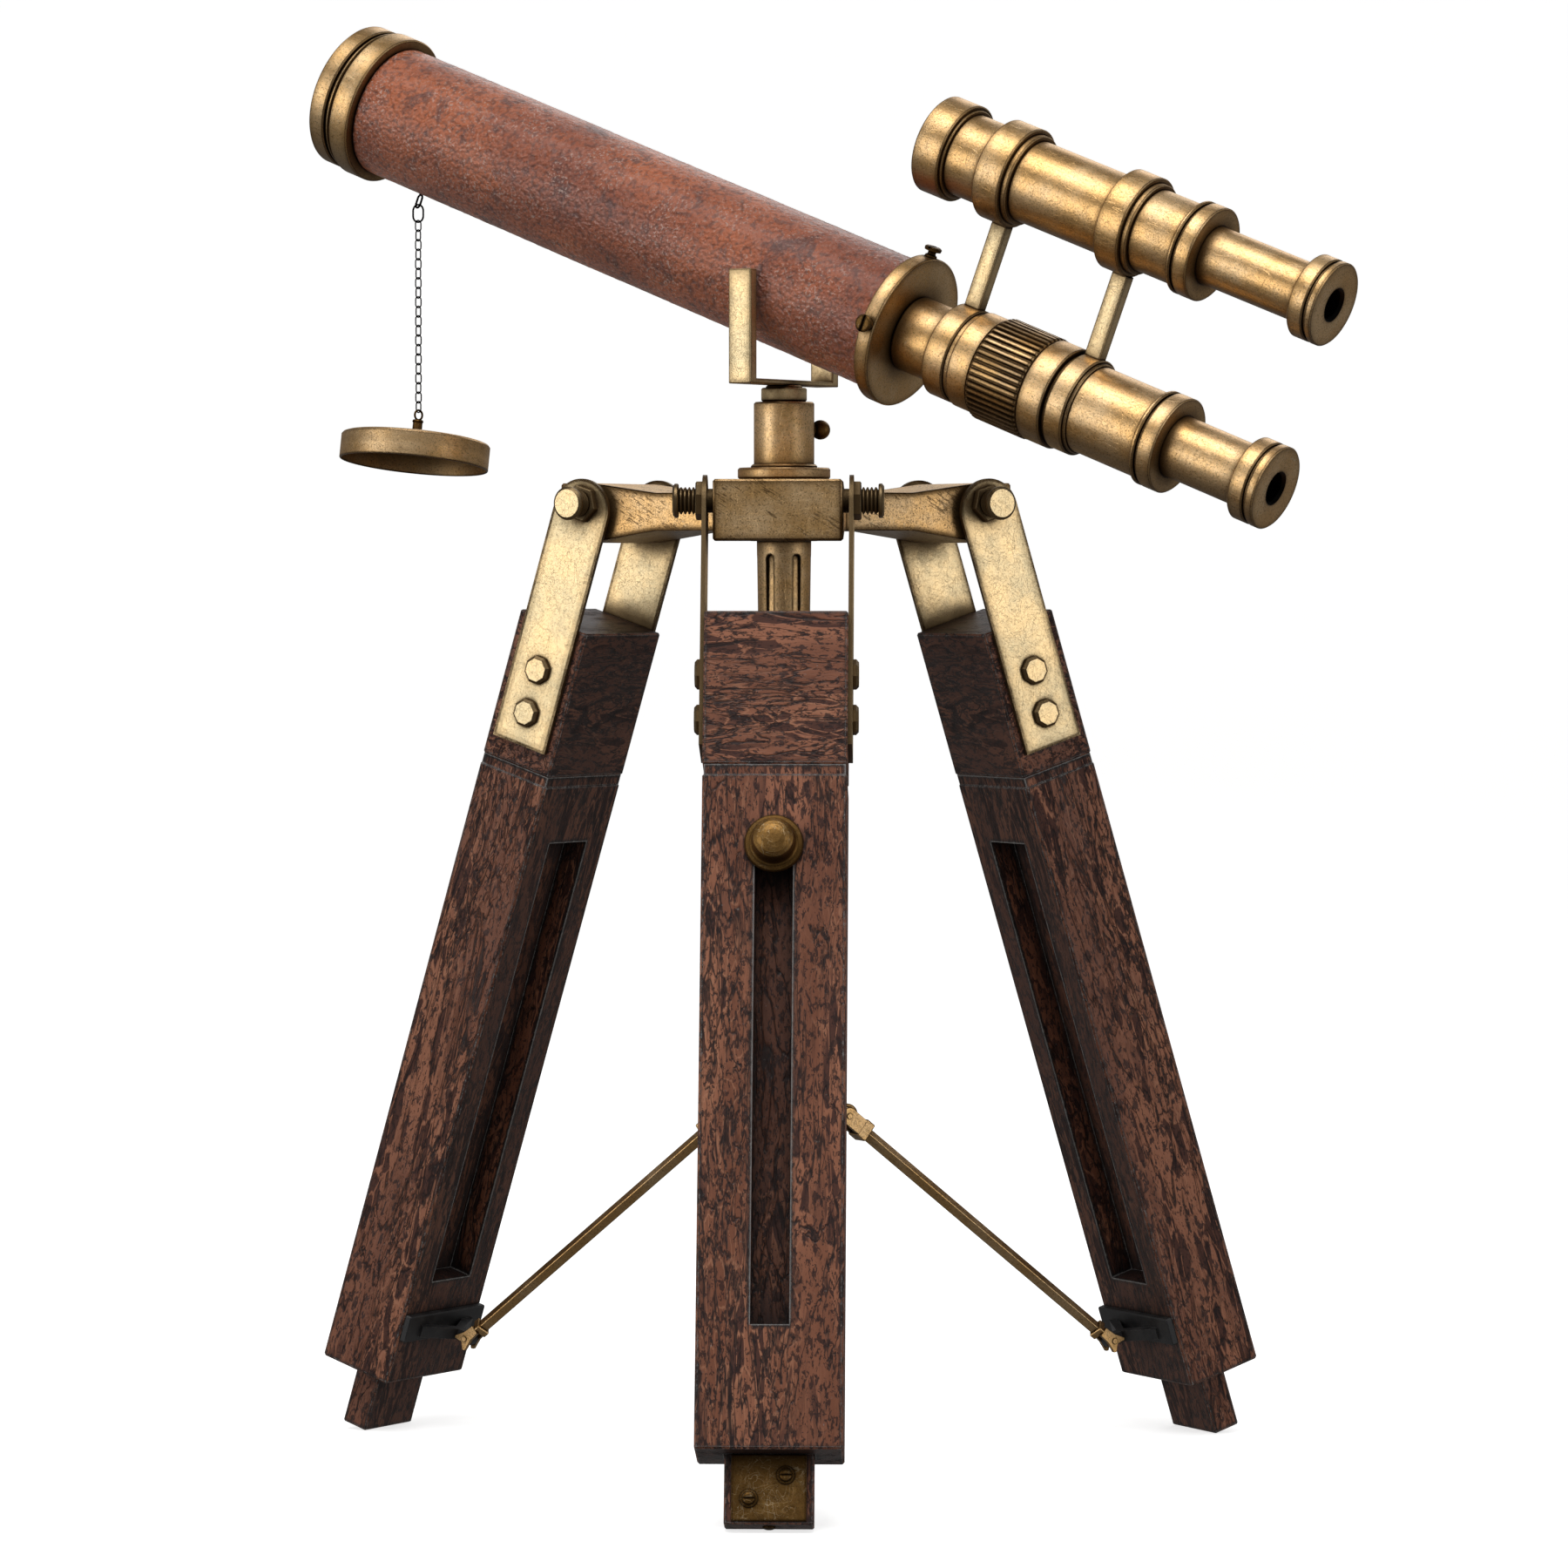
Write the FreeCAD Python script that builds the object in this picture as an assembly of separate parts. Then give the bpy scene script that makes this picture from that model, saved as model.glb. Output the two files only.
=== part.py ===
"""Desktop brass telescope on a folding wooden tripod, with finder scope, chain and lens cap.

Millimetres.  +Z is up, the origin lies on the ground under the azimuth axis, one leg points to -Y.
"""
import os
from math import cos, pi, radians, sin

import FreeCAD
import Part

V = FreeCAD.Vector
os.makedirs("parts", exist_ok=True)

# ---------------------------------------------------------------- driving dimensions
LEG_TILT = 17.77        # each leg from vertical, degrees
HINGE_R = 55.8          # leg hinge axis from the tripod axis
STUB_END = 290.3        # foot end of the inner leg, measured down the leg from the hinge
STUB_T = 8.6            # inner leg thickness (radial)
STUB_W = 24.2           # inner leg width
LEG_W = 40.0            # head and sleeve width
LEG_T = 24.4            # head and sleeve thickness
HINGE_Z = STUB_END * cos(radians(LEG_TILT)) + STUB_T / 2 * sin(radians(LEG_TILT))

TRUNNION_Z = HINGE_Z + 65.0   # altitude axis height
ALTITUDE = 21.2               # tube slope, objective up, degrees
TUBE_AZ = -30.0               # direction of the eyepiece end, degrees about +Z
TUBE_R = 18.9                 # brass tube outside radius
LEATHER_R = 19.7              # outside radius over the leather
FINDER_UP = 53.3              # finder axis above the main axis
EYELET_X = -129.0             # chain eyelet along the tube

LEGS = {"front": 0.0, "right": 120.0, "left": 240.0}


# ---------------------------------------------------------------- helpers
def box(x0, x1, y0, y1, z0, z1):
    return Part.makeBox(x1 - x0, y1 - y0, z1 - z0, V(x0, y0, z0))


def cyl(r, h, at, axis):
    return Part.makeCylinder(r, h, V(*at), V(*axis))


def bar(x0, x1, y0, y1, z0, z1, c):
    """Box with every edge broken by a small chamfer."""
    solid = box(x0, x1, y0, y1, z0, z1)
    return solid.makeChamfer(c, solid.Edges)


def lathe(outer, bore=None):
    """Solid turned about the X axis from (x, r) points; bore is a second profile, front to back."""
    pts = [V(x, 0, r) for x, r in outer]
    if bore is None:
        pts = [V(outer[0][0], 0, 0)] + pts + [V(outer[-1][0], 0, 0)]
    else:
        pts += [V(x, 0, r) for x, r in reversed(bore)]
    clean = [pts[0]]
    for p in pts[1:]:
        if p.distanceToPoint(clean[-1]) > 1e-6:
            clean.append(p)
    clean.append(clean[0])
    face = Part.Face(Part.makePolygon(clean))
    return face.revolve(V(0, 0, 0), V(1, 0, 0), 360)


def steps(segments, c=0.35):
    """Stepped outline from (x0, x1, r) segments, with a chamfer c on each free corner."""
    pts = []
    for i, (x0, x1, r) in enumerate(segments):
        left = segments[i - 1][2] if i else 0.0
        right = segments[i + 1][2] if i + 1 < len(segments) else 0.0
        pts += [(x0, r - c), (x0 + c, r)] if left < r else [(x0, r)]
        pts += [(x1 - c, r), (x1, r - c)] if right < r else [(x1, r)]
    return pts


def prism(sides, across, h, at, axis, c):
    """Polygonal head or nut standing on a point, along an axis, its outer face edged by a chamfer c."""
    step = 2 * pi / sides
    corner = across / 2 / cos(step / 2)
    points = [V(corner * cos((i + 0.5) * step), corner * sin((i + 0.5) * step), 0) for i in range(sides)]
    solid = Part.Face(Part.makePolygon(points + points[:1])).extrude(V(0, 0, h))
    solid = solid.makeChamfer(c, [e for e in solid.Edges if all(v.Point.z > h - 0.01 for v in e.Vertexes)])
    solid.Placement = FreeCAD.Placement(V(*at), FreeCAD.Rotation(V(0, 0, 1), V(*axis)))
    return solid


def place(shape, placement):
    out = shape.copy()
    out.transformShape(placement.toMatrix(), True)
    return out


def save(name, shapes):
    """Write one node: a single solid, or a group of like pieces."""
    shapes = shapes if isinstance(shapes, list) else [shapes]
    solids = [s for shape in shapes for s in shape.Solids]
    node = solids[0] if len(solids) == 1 else Part.makeCompound(solids)
    node.exportStep("parts/%s.step" % name)


def rot(axis, deg):
    return FreeCAD.Rotation(V(*axis), deg)


def leg_frame(turn):
    """Leg coordinates: x across the leg, y inward, z up the leg, origin on the hinge axis."""
    around = FreeCAD.Placement(V(0, 0, 0), rot((0, 0, 1), turn))
    hinge = FreeCAD.Placement(V(0, -HINGE_R, HINGE_Z), rot((1, 0, 0), -LEG_TILT))
    return around.multiply(hinge)


AROUND = FreeCAD.Placement(V(0, 0, 0), rot((0, 0, 1), TUBE_AZ))
TUBE = AROUND.multiply(FreeCAD.Placement(V(0, 0, TRUNNION_Z), rot((0, 1, 0), ALTITUDE)))

# ---------------------------------------------------------------- tripod hub
ARM_HALF = 18.15        # hub arm half width
ARM_END = 65.6          # hub arm end from the axis
PIVOT_R = 3.4           # pivot rod shank radius
BOSS_TOP = 6.9          # underside of the socket flange above the hinge


def hub_casting():
    profile = [(0, 3), (33, 3), (55, 6), (ARM_END, 6), (ARM_END, -11.3), (55, -11.3), (33, -8), (0, -8)]
    body = None
    for turn in LEGS.values():
        pts = [V(-ARM_HALF, -rho, HINGE_Z + z) for rho, z in profile + profile[:1]]
        arm = Part.Face(Part.makePolygon(pts)).extrude(V(2 * ARM_HALF, 0, 0))
        arm = arm.makeChamfer(0.6, [e for e in arm.Edges if all(abs(v.Point.y) > 40 for v in e.Vertexes)])
        arm = arm.cut(cyl(PIVOT_R + 0.08, 50, (-25, -HINGE_R, HINGE_Z), (1, 0, 0)))
        arm.rotate(V(0, 0, 0), V(0, 0, 1), turn)
        body = arm if body is None else body.fuse(arm)
    boss = Part.makeCone(13.6, 11.6, BOSS_TOP - 3, V(0, 0, HINGE_Z + 3), V(0, 0, 1))
    body = body.fuse(boss).removeSplitter()
    return body.cut(cyl(5.4, 30, (0, 0, HINGE_Z - 15), (0, 0, 1)))


def centre_post():
    """Fluted column that hangs under the hub, with its spigot up through the casting."""
    z0 = HINGE_Z - 47
    column = Part.makeCone(7.4, 7.9, 36, V(0, 0, z0), V(0, 0, 1))
    foot = Part.makeCone(6.0, 7.4, 2.5, V(0, 0, z0 - 2.5), V(0, 0, 1))
    collar = cyl(9.6, 3.0, (0, 0, HINGE_Z - 11), (0, 0, 1))
    spigot = cyl(5.4, 8, (0, 0, HINGE_Z - 8), (0, 0, 1))
    post = column.fuse(foot).fuse(collar).fuse(spigot).removeSplitter()
    for i in range(6):
        slot = box(-1.15, 1.15, -9, -6.9, z0 + 4, HINGE_Z - 16)
        slot = slot.fuse(cyl(1.15, 2.1, (0, -9, HINGE_Z - 16), (0, 1, 0)))
        slot.rotate(V(0, 0, 0), V(0, 0, 1), 60 * i + 30)
        post = post.cut(slot)
    return post


SCREW_TURN = 30.0       # azimuth of the socket clamp screw
SCREW_Z = HINGE_Z + 21.3
STEM_R = 5.0            # yoke stem radius


def socket():
    z = HINGE_Z
    outer = [(z + BOSS_TOP, z + 10.2, 13.4), (z + 10.2, z + 11.2, 9.6), (z + 11.2, z + 29.2, 8.75)]
    bore = [(z + BOSS_TOP, STEM_R + 0.08), (z + 29.2, STEM_R + 0.08)]
    body = lathe(steps(outer, 0.5), bore)
    body.rotate(V(0, 0, 0), V(0, 1, 0), -90)
    hole = cyl(1.25, 12, (0, 0, SCREW_Z), (cos(radians(SCREW_TURN)), sin(radians(SCREW_TURN)), 0))
    return body.cut(hole)


def socket_screw():
    """Ball-headed clamp screw; its axis is turned to SCREW_TURN."""
    screw = lathe([(5.3, 0.8), (5.6, 1.15), (8.95, 1.15), (8.95, 2.1), (9.4, 2.2), (9.7, 1.5), (11.0, 1.4)])
    ball = Part.makeSphere(2.85, V(12.0, 0, 0))
    screw = screw.fuse(ball)
    return place(screw, FreeCAD.Placement(V(0, 0, SCREW_Z), rot((0, 0, 1), SCREW_TURN)))


save("hub_casting", hub_casting())
save("centre_post", centre_post())
save("socket", socket())
save("socket_clamp_screw", socket_screw())

# ---------------------------------------------------------------- legs
HEAD_TOP, HEAD_END = 36.1, 80.4       # head block along the leg
SLEEVE_TOP, SLEEVE_END = 83.1, 271.3  # sleeve along the leg
SLOT_TOP, SLOT_END = 99.0, 237.4      # outer slot
SLOT_W = 10.6
BACK_TOP, BACK_END = 101.0, 239.5     # wider opening in the inner face
BACK_W = 20.0
CAVITY_TOP = 92.0                     # top of the sliding cavity
KNOB_S = 103.5                        # knob station when the leg is pushed in
PLATE_T = 1.2                         # hinge plate thickness
PLATE_W = 18.9
PLATE_END = 74.0
BOLT_S = (51.0, 64.2)
BRACKET_S = 253.2
FOOT_SCREWS = ((4.5, 277.2), (-5.4, 283.5))  # across and along the leg
PIN_R, EYE_R = 0.85, 0.95             # spreader pins and their running eyes
OUT_RHO, OUT_Z = 110.6, HINGE_Z - 249.2   # spreader rod outer pivot
IN_RHO, IN_Z = 20.2, HINGE_Z - 178.4      # spreader rod inner pivot


def head():
    block = bar(-LEG_W / 2, LEG_W / 2, -LEG_T / 2, LEG_T / 2, -HEAD_END, -HEAD_TOP, 0.5)
    for s in BOLT_S:
        block = block.cut(cyl(2.0, 60, (-30, 0, -s), (1, 0, 0)))
    return block


def sleeve():
    body = bar(-LEG_W / 2, LEG_W / 2, -LEG_T / 2, LEG_T / 2, -SLEEVE_END, -SLEEVE_TOP, 0.6)
    half_w, half_t = LEG_W / 2 - 0.4, LEG_T / 2 - 0.4
    neck = box(-half_w, half_w, -half_t, half_t, -SLEEVE_TOP - 1, -HEAD_END)
    body = body.fuse(neck)
    hw, ht = STUB_W / 2 + 0.2, STUB_T / 2 + 0.2
    body = body.cut(box(-hw, hw, -ht, ht, -SLEEVE_END - 1, -CAVITY_TOP))
    body = body.cut(box(-SLOT_W / 2, SLOT_W / 2, -LEG_T, 0, -SLOT_END, -SLOT_TOP))
    return body.cut(box(-BACK_W / 2, BACK_W / 2, 0, LEG_T, -BACK_END, -BACK_TOP))


def inner_leg():
    body = bar(-STUB_W / 2, STUB_W / 2, -STUB_T / 2, STUB_T / 2, -STUB_END, -CAVITY_TOP - 1.5, 0.4)
    body = body.cut(cyl(2.5, 9, (0, -STUB_T / 2 - 1, -KNOB_S), (0, 1, 0)))
    body = body.cut(cyl(1.0, 8, (0, 0, -STUB_END - 1), (0, 0, 1)))
    for x, s in FOOT_SCREWS:
        body = body.cut(cyl(0.9, 5, (x, -STUB_T / 2 - 1, -s), (0, 1, 0)))
    return body


def foot_plate():
    """Brass plate on the outer face of the foot, two slotted screws and a domed foot screw."""
    y0 = -STUB_T / 2 - 0.9
    outward = FreeCAD.Rotation(V(1, 0, 0), V(0, -1, 0))
    plate = box(-10.1, 10.1, y0, -STUB_T / 2, -STUB_END + 0.7, -SLEEVE_END - 0.15)
    plate = plate.makeChamfer(0.25, [e for e in plate.Edges if e.CenterOfMass.y < y0 + 0.1])
    pieces = []
    for x, s in FOOT_SCREWS:
        plate = plate.cut(cyl(0.9, 5, (x, y0 - 1, -s), (0, 1, 0)))
        screw = lathe([(-4.3, 0.5), (-4.0, 0.9), (0, 0.9), (0, 2.45), (0.3, 2.4), (0.4, 1.75), (0.9, 1.6),
                       (1.2, 1.0)])
        screw = screw.cut(box(0.8, 2, -3, 3, -0.22, 0.22))
        pieces.append(place(screw, FreeCAD.Placement(V(x, y0, -s), outward)))
    foot = lathe([(-6, 1.0), (0, 1.0), (0, 1.8), (0.5, 1.7), (0.75, 1.0)])
    downward = FreeCAD.Rotation(V(1, 0, 0), V(0, 0, -1))
    pieces.append(place(foot, FreeCAD.Placement(V(0, 0, -STUB_END), downward)))
    return [plate] + pieces


def knob():
    """Domed clamp knob with its washer and stud; it rides with the inner leg."""
    face = LEG_T / 2 + 0.15
    depth = STUB_T / 2 + face
    stud = [(-depth + 1, 2.1), (-depth + 1.4, 2.45), (0, 2.45)]
    dish = [(0, 7.8), (0.35, 8.1), (1.1, 8.15), (1.55, 7.9), (1.7, 7.3), (1.8, 6.7), (2.3, 6.15), (3.1, 5.85)]
    dome = [(4.2, 5.7), (6.6, 5.75), (7.3, 5.55), (7.7, 5.1), (8.3, 4.5), (8.9, 3.4), (9.25, 2), (9.35, 0.7)]
    outline = stud + dish + dome
    outward = FreeCAD.Rotation(V(1, 0, 0), V(0, -1, 0))
    return place(lathe(outline), FreeCAD.Placement(V(0, -face, -KNOB_S), outward))


def hinge_plates():
    plates = []
    for side in (-1, 1):
        x0 = LEG_W / 2 if side > 0 else -LEG_W / 2 - PLATE_T
        strap = box(x0, x0 + PLATE_T, -PLATE_W / 2, PLATE_W / 2, -PLATE_END, -2.3)
        cap = cyl(PLATE_W / 2, PLATE_T, (x0, 0, -2.3), (1, 0, 0))
        plate = strap.fuse(cap).removeSplitter()
        plate = plate.cut(cyl(PIVOT_R + 0.02, 5, (x0 - 2, 0, 0), (1, 0, 0)))
        for s in BOLT_S:
            plate = plate.cut(cyl(2.0, 5, (x0 - 2, 0, -s), (1, 0, 0)))
        plates.append(plate)
    return plates


def plate_bolts():
    bolts = []
    out = LEG_W / 2 + PLATE_T
    for s in BOLT_S:
        shank = cyl(2.0, 2 * out, (-out, 0, -s), (1, 0, 0))
        left = prism(8, 7.9, 1.7, (-out, 0, -s), (-1, 0, 0), 0.75)
        right = prism(8, 7.9, 1.7, (out, 0, -s), (1, 0, 0), 0.75)
        bolts.append(shank.fuse(left).fuse(right))
    return bolts


def pivot():
    """Threaded pivot rod with an end disc at each side, and the nut on each hinge plate."""
    out = LEG_W / 2 + PLATE_T
    nut_t, end = 2.1, 29.7
    half = [(0, PIVOT_R), (out, PIVOT_R), (out + nut_t, PIVOT_R)]
    x = out + nut_t
    while x < end - 2.6:
        half += [(x, 3.0), (x + 0.45, 3.85), (x + 0.75, 3.85)]
        x += 1.15
    half += [(end - 1.6, 3.0), (end - 1.6, 4.6), (end - 1.3, 4.85), (end - 0.6, 4.85), (end, 4.1)]
    outline = [(-x, r) for x, r in reversed(half)] + half[1:]
    rod = lathe(outline)
    nuts = []
    for side in (-1, 1):
        nut = prism(6, 9.6, nut_t, (side * out, 0, 0), (side, 0, 0), 0.35)
        nuts.append(nut.cut(cyl(PIVOT_R, 60, (-30, 0, 0), (1, 0, 0))))
    return [rod] + nuts


def to_leg(rho, z):
    """Point (rho, z) of the leg's vertical plane in leg coordinates (y inward, z up the leg)."""
    p = leg_frame(0).inverse().multVec(V(0, -rho, z))
    return p.y, p.z


def bracket():
    """Black strap across the inner face with an open V frame, its tip carrying the outer spreader eye."""
    face = LEG_T / 2
    strap = bar(-19.6, 19.6, face, face + 2.2, -BRACKET_S - 4.1, -BRACKET_S + 4.1, 0.35)
    y, z = to_leg(OUT_RHO, OUT_Z)
    half = [V(13.2, face + 1.6, z), V(13.2, face + 3.0, z), V(1.4, y - 3.7, z), V(1.4, y, z)]
    tips = [V(-p.x, p.y, p.z) for p in half] + half[::-1]
    frame = Part.Face(Part.makePolygon(tips + tips[:1])).extrude(V(0, 0, 3.4))
    hole = [V(-8.4, face + 2.2, z - 1), V(0, y - 5.6, z - 1), V(8.4, face + 2.2, z - 1)]
    frame = frame.cut(Part.Face(Part.makePolygon(hole + hole[:1])).extrude(V(0, 0, 6)))
    frame.translate(V(0, 0, -1.7))
    eye = cyl(2.1, 2.8, (-1.4, y, z), (1, 0, 0))
    body = strap.fuse(frame).fuse(eye).removeSplitter()
    return body.cut(cyl(EYE_R, 6, (-3, y, z), (1, 0, 0)))


FORK = [(4.8, 1.4), (1.3, 1.65), (-2.0, 2.75), (-2.5, 2.2), (-1.35, 0.0)]   # upper half of an ear's outline


def square_bar(x0, x1, side, c):
    """Square bar along x that stands on its edge."""
    stick = bar(x0, x1, -side / 2, side / 2, -side / 2, side / 2, c)
    stick.rotate(V(0, 0, 0), V(1, 0, 0), 45)
    return stick


def spreader_rod():
    """Square rod with a clevis at each end, in its own axes: x runs from outer to inner pivot."""
    length = ((OUT_RHO - IN_RHO) ** 2 + (OUT_Z - IN_Z) ** 2) ** 0.5
    rod = square_bar(4.0, length - 5.6, 2.9, 0.2)
    rod = rod.fuse(square_bar(4.4, 6.6, 4.3, 0.25))
    rod = rod.fuse(bar(length - 8.8, length - 5.4, -2.9, 2.9, -2.9, 2.9, 0.3))
    fork = FORK + [(x, -z) for x, z in reversed(FORK[:-1])]
    for side in (-1, 1):
        y0 = 1.6 if side > 0 else -2.9
        outline = [V(x, y0, z) for x, z in fork]
        ear = Part.Face(Part.makePolygon(outline + outline[:1])).extrude(V(0, 1.3, 0))
        tine = box(length - 5.6, length, y0, y0 + 1.3, -2.4, 2.4)
        tine = tine.fuse(cyl(2.4, 1.3, (length, y0, 0), (0, 1, 0)))
        rod = rod.fuse(ear).fuse(tine)
    rod = rod.fuse(cyl(PIN_R, 6.4, (0, -3.2, 0), (0, 1, 0)))
    rod = rod.fuse(cyl(PIN_R, 6.4, (length, -3.2, 0), (0, 1, 0)))
    return rod.removeSplitter()


def rod_placement(turn):
    """Outer pivot to inner pivot, in the vertical plane of the leg."""
    a = radians(turn - 90)
    out = V(OUT_RHO * cos(a), OUT_RHO * sin(a), OUT_Z)
    inn = V(IN_RHO * cos(a), IN_RHO * sin(a), IN_Z)
    x = (inn - out).normalize()
    y = V(-sin(a), cos(a), 0)
    z = x.cross(y)
    m = FreeCAD.Matrix(x.x, y.x, z.x, out.x, x.y, y.y, z.y, out.y, x.z, y.z, z.z, out.z, 0, 0, 0, 1)
    return FreeCAD.Placement(m)


def spreader_hub():
    """Small hub on the tripod axis; each lug has an oversize eye around the pin of its rod."""
    hub = cyl(8.2, 7.6, (0, 0, IN_Z - 3.8), (0, 0, 1))
    hub = hub.makeChamfer(0.6, [e for e in hub.Edges if abs(e.Length - 2 * pi * 8.2) < 0.1])
    for turn in LEGS.values():
        lug = box(-1.3, 1.3, -IN_RHO, 0, IN_Z - 3.6, IN_Z + 3.6)
        lug = lug.fuse(cyl(3.6, 2.6, (-1.3, -IN_RHO, IN_Z), (1, 0, 0)))
        lug.rotate(V(0, 0, 0), V(0, 0, 1), turn)
        hub = hub.fuse(lug)
    hub = hub.removeSplitter()
    for turn in LEGS.values():
        eye = cyl(2.6, 4, (-2, -IN_RHO, IN_Z), (1, 0, 0))
        eye.rotate(V(0, 0, 0), V(0, 0, 1), turn)
        hub = hub.cut(eye)
    return hub.cut(cyl(2.6, 12, (0, 0, IN_Z - 6), (0, 0, 1)))


save("spreader_hub", spreader_hub())
LEG_NODES = {"leg_head": head, "leg_sleeve": sleeve, "inner_leg": inner_leg, "foot_plate": foot_plate,
             "clamp_knob": knob, "hinge_plates": hinge_plates, "plate_bolts": plate_bolts,
             "pivot_rod": pivot, "spreader_bracket": bracket}
for node, make in LEG_NODES.items():
    made = make()
    made = made if isinstance(made, list) else [made]
    for side, turn in LEGS.items():
        save("%s_%s" % (node, side), [place(piece, leg_frame(turn)) for piece in made])
ROD = spreader_rod()
for side, turn in LEGS.items():
    save("spreader_rod_%s" % side, place(ROD, rod_placement(turn)))

# ---------------------------------------------------------------- yoke
ARM_IN, ARM_OUT = 20.9, 24.3    # yoke arm faces from the tube's vertical plane
ARM_AXIAL = 3.75                # half width of an arm along the tube
ARM_TOP = TRUNNION_Z + 1.8      # top of the arms
TRUNNION_R = 0.95               # trunnion pins
BASE_Z = HINGE_Z + 34.0


def yoke():
    z = HINGE_Z
    outline = [(z + 13, z + 29.3, STEM_R), (z + 29.3, z + 33.3, 6.6), (z + 33.3, BASE_Z, 5.3)]
    stem = lathe(steps(outline, 0.4))
    stem.rotate(V(0, 0, 0), V(0, 1, 0), -90)
    base = bar(-ARM_AXIAL, ARM_AXIAL, -ARM_OUT, ARM_OUT, BASE_Z, BASE_Z + 1.5, 0.3)
    body = stem.fuse(base)
    for side in (-1, 1):
        y0 = ARM_IN if side > 0 else -ARM_OUT
        arm = bar(-ARM_AXIAL, ARM_AXIAL, y0, y0 + 3.4, BASE_Z, ARM_TOP, 0.25)
        body = body.fuse(arm)
    body = body.removeSplitter()
    for side in (-1, 1):
        body = body.cut(cyl(TRUNNION_R + 0.08, ARM_IN + 2.3, (0, 0, TRUNNION_Z), (0, side, 0)))
    return place(body, AROUND)


save("yoke", yoke())

# ---------------------------------------------------------------- main telescope (x toward the eye)
OBJ_FRONT, OBJ_BACK = -162.4, -147.3
BACK = 41.6             # rear end of tube and leather, front face of the backplate
PLATE_BACK = 46.3
KNURL = (75.6, 92.8)
DRAW_R = 9.0
PLATE_SCREWS = (0.0, 87.0, -87.0)   # around the tube from the top


def main_tube():
    tube = lathe([(-156.0, TUBE_R), (BACK, TUBE_R)], [(-156.0, 17.7), (BACK, 17.7)])
    tube = tube.cut(cyl(TRUNNION_R, 60, (0, -30, 0), (0, 1, 0)))
    return tube.cut(cyl(0.6, 4, (EYELET_X, 0, -21), (0, 0, 1)))


def leather():
    skin = lathe([(OBJ_BACK, LEATHER_R), (BACK, LEATHER_R)], [(OBJ_BACK, TUBE_R), (BACK, TUBE_R)])
    skin = skin.cut(cyl(TRUNNION_R, 60, (0, -30, 0), (0, 1, 0)))
    return skin.cut(cyl(0.6, 4, (EYELET_X, 0, -21), (0, 0, 1)))


def trunnion_pins():
    pins = []
    for side in (-1, 1):
        pin = cyl(TRUNNION_R, 5.2, (0, side * 17.75, 0), (0, side, 0))
        pins.append(pin.cut(lathe([(-9, 17.7), (9, 17.7)])))
    return pins


def objective_ring():
    outer = steps([(OBJ_FRONT, -156.9, 21.7), (-156.9, -156.1, 20.6), (-156.1, -155.0, 21.5),
                   (-155.0, -154.2, 20.6), (-154.2, OBJ_BACK, 22.3)], 0.4)
    bore = [(OBJ_FRONT, 19.8), (OBJ_FRONT + 0.8, 19.2), (-158.0, 19.2), (-158.0, 17.4), (-156.0, 17.4),
            (-156.0, TUBE_R), (OBJ_BACK, TUBE_R)]
    return lathe(outer, bore)


def lens(r, x0, x1, dome):
    """Plano-convex lens with the dome to the front; x0 is the edge front, x1 the flat back."""
    arc = [(x0 - dome * (1 - (i / 8.0) ** 2), r * i / 8.0) for i in range(1, 9)]
    return lathe([(x0 - dome, 0.0)] + arc + [(x1, r)])


def backplate():
    outer = steps([(BACK - 5, BACK, 17.7), (BACK, PLATE_BACK, 22.2)], 0.4)
    plate = lathe(outer, [(BACK - 5, 9.5), (PLATE_BACK, 9.5)])
    for turn in PLATE_SCREWS:
        hole = cyl(0.9, 8, (44.0, 0, 16), (0, 0, 1))
        hole.rotate(V(0, 0, 0), V(1, 0, 0), turn)
        plate = plate.cut(hole)
    return plate


def backplate_screws():
    screws = []
    for turn in PLATE_SCREWS:
        shank = [(17.9, 0.6), (18.3, 0.9), (22.2, 0.9)]
        head = [(22.2, 1.9), (22.8, 1.7), (23.1, 1.2), (23.8, 1.2), (24.1, 2.4), (24.9, 2.55), (25.3, 2.1)]
        screw = lathe(shank + head)
        screw = screw.cut(box(24.7, 26, -3, 3, -0.3, 0.3))
        screw.rotate(V(0, 0, 0), V(0, 1, 0), -90)
        screw.translate(V(44.0, 0, 0))
        screw.rotate(V(0, 0, 0), V(1, 0, 0), turn)
        screws.append(screw)
    return screws


def eyepiece_front():
    outer = steps([(PLATE_BACK, 59.4, 11.0), (59.4, 66.5, 13.9), (66.5, 68.1, 13.2), (68.1, 75.4, 14.2),
                   (75.4, 99.0, 12.0)], 0.4)
    outer = [(BACK - 5, 9.5), (PLATE_BACK, 9.5)] + outer[1:]
    return lathe(outer, [(BACK - 5, 8.3), (60, 8.3), (60, 10.2), (99.0, 10.2)])


def eyepiece_rear():
    outer = steps([(93.0, 100.8, 14.9), (100.8, 101.9, 13.4), (101.9, 108.0, 14.2), (108.0, 109.0, 13.4),
                   (109.0, 131.1, 12.7), (131.1, 132.5, 14.0), (132.5, 133.3, 13.1),
                   (133.3, 138.3, 14.0)], 0.35)
    bore = [(93.0, 12.0), (99.0, 12.0), (99.0, 10.2), (127.0, 10.2), (127.0, DRAW_R + 0.06),
            (138.3, DRAW_R + 0.06)]
    return lathe(outer, bore)


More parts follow.
